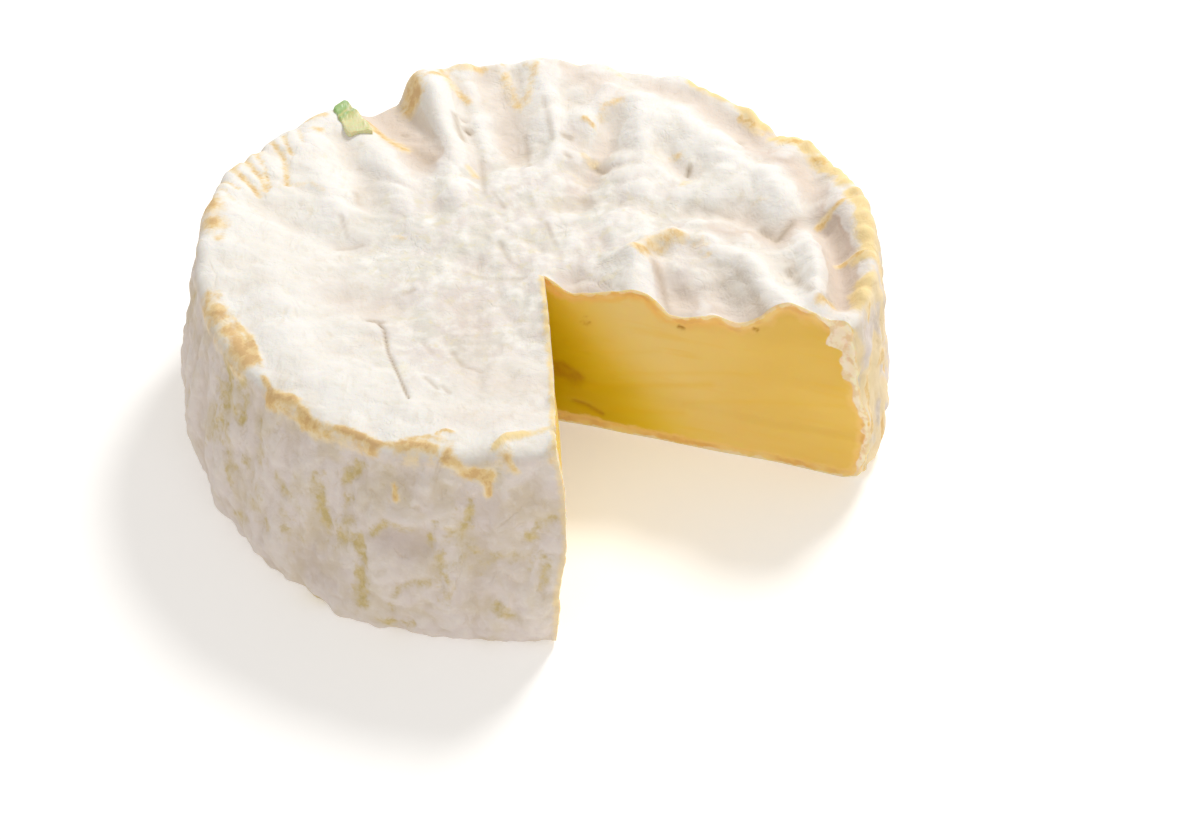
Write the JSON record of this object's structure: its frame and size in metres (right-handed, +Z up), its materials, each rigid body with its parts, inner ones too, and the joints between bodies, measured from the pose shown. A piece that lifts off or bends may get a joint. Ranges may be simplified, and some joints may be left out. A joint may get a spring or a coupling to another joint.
{
  "type": "camembert cheese",
  "caption": "Low round soft cheese with a wrinkled white bloomy rind, ochre rim and a wedge-shaped notch that shows the yellow paste inside.",
  "frame": {"origin": "middle of the bounding box's underside, on the flat base that the cheese rests on", "axes": "+Z up, along the wheel's axis; the notch opens between -Y and about 20 degrees below +X"},
  "size_m": [0.1094, 0.1108, 0.0322],
  "materials": {
    "rind": "matte, velvety"
  },
  "bodies": {
    "root": {"camembert": "rind"}
  },
  "joints": []
}
